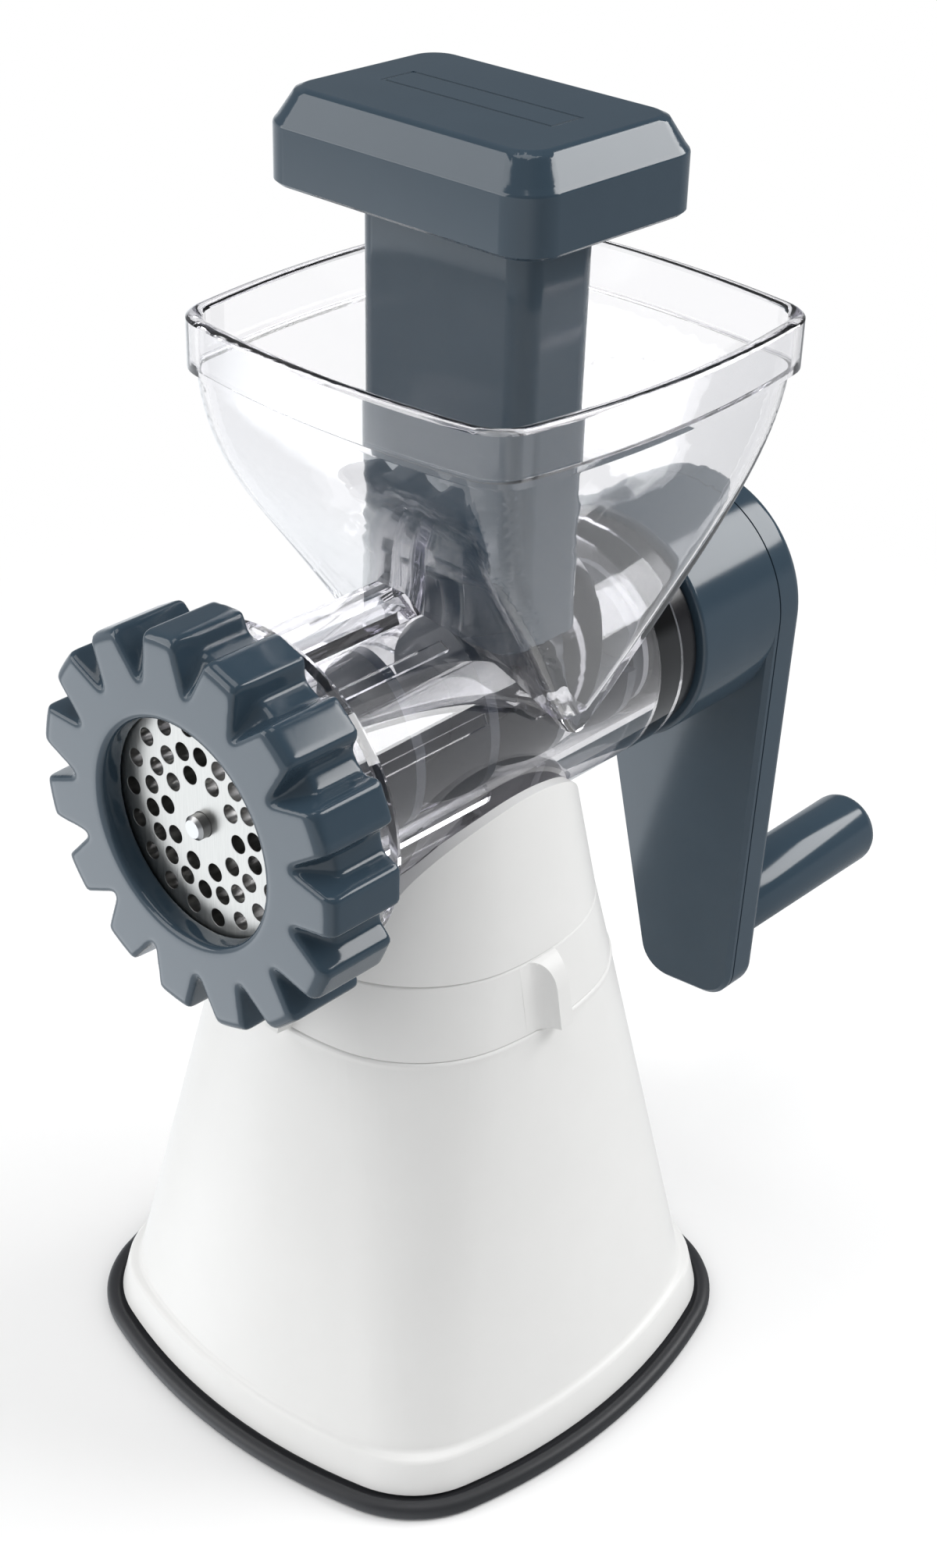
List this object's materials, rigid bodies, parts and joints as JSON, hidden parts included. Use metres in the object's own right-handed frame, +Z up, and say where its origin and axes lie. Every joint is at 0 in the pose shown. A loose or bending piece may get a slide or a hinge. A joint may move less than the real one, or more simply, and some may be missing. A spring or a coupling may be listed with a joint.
{
  "type": "hand crank meat grinder",
  "caption": "Hand crank meat grinder on a tapered suction tower, with a clear hopper and barrel, lobed ring nut, perforated disc, crank with grip, and pusher.",
  "frame": {"origin": "centre of the foot's underside, on the tower's axis", "axes": "+Z up; -Y along the barrel towards the ring nut; +Y towards the crank; +X to the right seen from the nut"},
  "size_m": [0.1496, 0.2599, 0.3306],
  "materials": {
    "slate_plastic": "smooth gloss",
    "clear_plastic": "clear gloss",
    "white_plastic": "satin gloss",
    "foot_rubber": "matte",
    "black_plastic": "gloss",
    "inner_plastic": "matte",
    "feed_plastic": "satin",
    "steel": "bright",
    "disc_steel": "ground face"
  },
  "bodies": {
    "base": {"base_shell": "white_plastic", "foot_seal": "foot_rubber", "suction_diaphragm": "foot_rubber", "cradle": "white_plastic", "cradle_screws": "steel", "clear_body": "clear_plastic", "barrel_screws": "steel", "rear_bush": "black_plastic", "thrust_washer": "inner_plastic"},
    "lock_ring": {"lock_ring": "white_plastic"},
    "lift": {"pull_plate": "inner_plastic", "lift_spindle": "steel", "cross_pin": "steel"},
    "crank": {"auger": "feed_plastic", "auger_stud": "steel", "cutter_blade": "steel", "drive_shaft": "steel", "crank_shell": "slate_plastic", "crank_cover": "slate_plastic", "crank_screw": "steel", "grip_screw": "steel"},
    "handle": {"grip_sleeve": "slate_plastic", "grip_end_cap": "slate_plastic"},
    "plate": {"perforated_disc": "disc_steel"},
    "nut": {"ring_nut": "slate_plastic"},
    "pusher": {"pusher_stem": "slate_plastic", "pusher_cap": "slate_plastic"}
  },
  "joints": [
    {"name": "lock_turn", "type": "hinge", "parent": "base", "child": "lock_ring", "pos_m": [0, 0, 0.127], "axis": [0, 0, 1], "range_deg": [0, 60]},
    {"name": "suction_lift", "type": "slide", "parent": "base", "child": "lift", "axis": [0, 0, 1], "range_m": [0, 0.006], "deforming": ["suction_diaphragm"]},
    {"name": "crank_turn", "type": "hinge", "parent": "base", "child": "crank", "pos_m": [0, 0, 0.1846], "axis": [0, 1, 0], "continuous": true},
    {"name": "grip_turn", "type": "hinge", "parent": "crank", "child": "handle", "pos_m": [0.01119, 0.13, 0.07819], "axis": [0, 1, 0], "continuous": true},
    {"name": "plate_slide", "type": "slide", "parent": "base", "child": "plate", "axis": [0, -1, 0], "range_m": [0, 0.018]},
    {"name": "nut_turn", "type": "hinge", "parent": "plate", "child": "nut", "pos_m": [0, -0.064, 0.1846], "axis": [0, -1, 0], "range_deg": [0, 1080]},
    {"name": "pusher_slide", "type": "slide", "parent": "base", "child": "pusher", "axis": [0, 0, 1], "range_m": [0, 0.16]}
  ],
  "couplings": [
    {"joint": "suction_lift", "follows": "lock_turn", "m_per_rad": 0.0057296},
    {"joint": "plate_slide", "follows": "nut_turn", "m_per_rad": 0.00095493}
  ]
}
